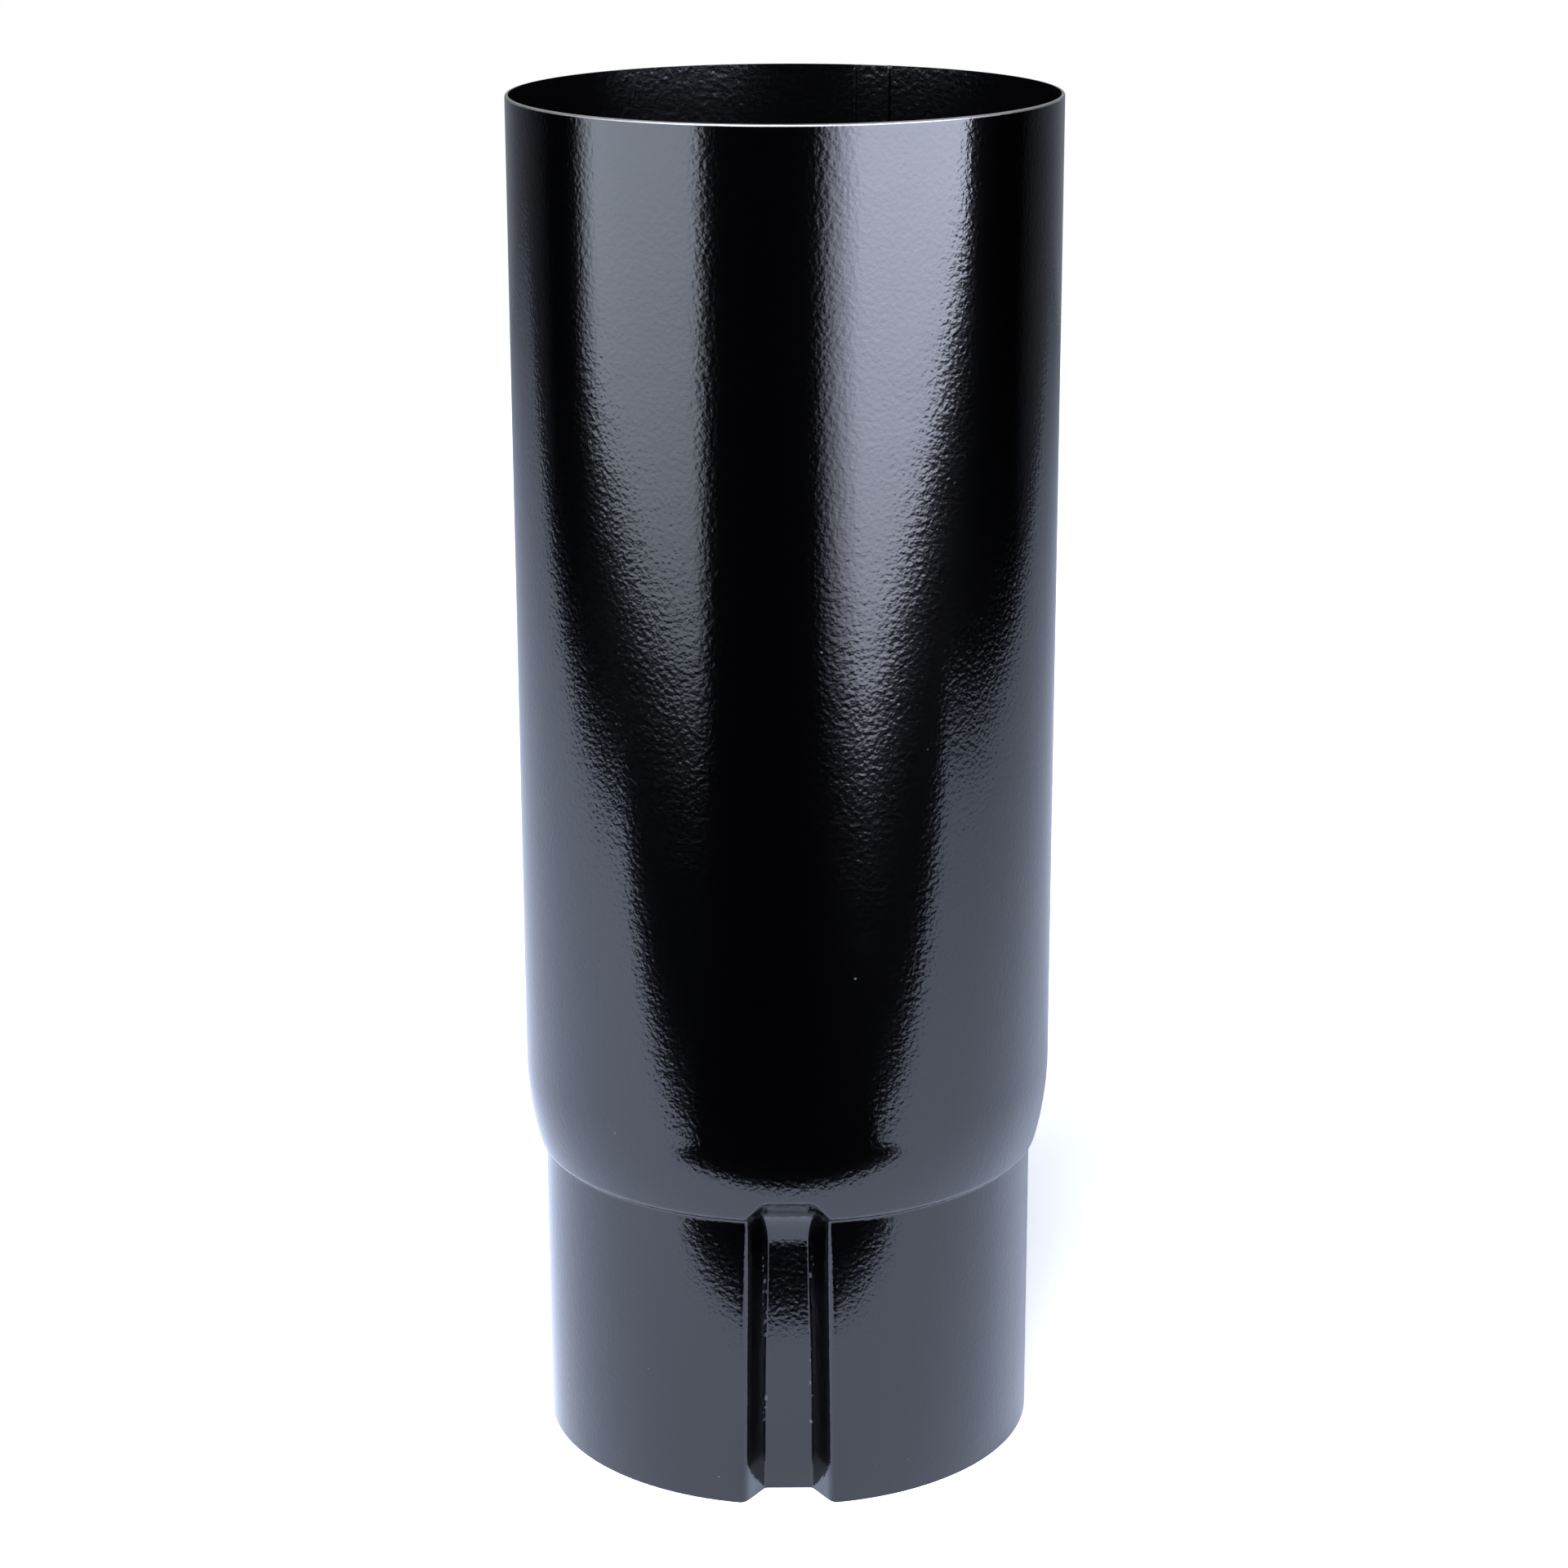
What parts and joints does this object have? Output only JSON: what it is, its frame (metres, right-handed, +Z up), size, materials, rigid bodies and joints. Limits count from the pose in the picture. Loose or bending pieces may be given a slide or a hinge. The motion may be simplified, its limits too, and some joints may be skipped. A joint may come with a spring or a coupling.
{
  "type": "downpipe connector",
  "caption": "Straight black sheet-steel downpipe connector: a plain round socket above a rounded shoulder and a reduced spigot with one pressed recess down its front.",
  "frame": {"origin": "centre of the spigot's bottom edge, on the pipe axis", "axes": "+Z up the pipe axis toward the open socket; the recess faces -Y"},
  "size_m": [0.1, 0.1, 0.2552],
  "materials": {
    "black_paint": "gloss"
  },
  "bodies": {
    "root": {"connector_pipe": "black_paint"}
  },
  "joints": []
}
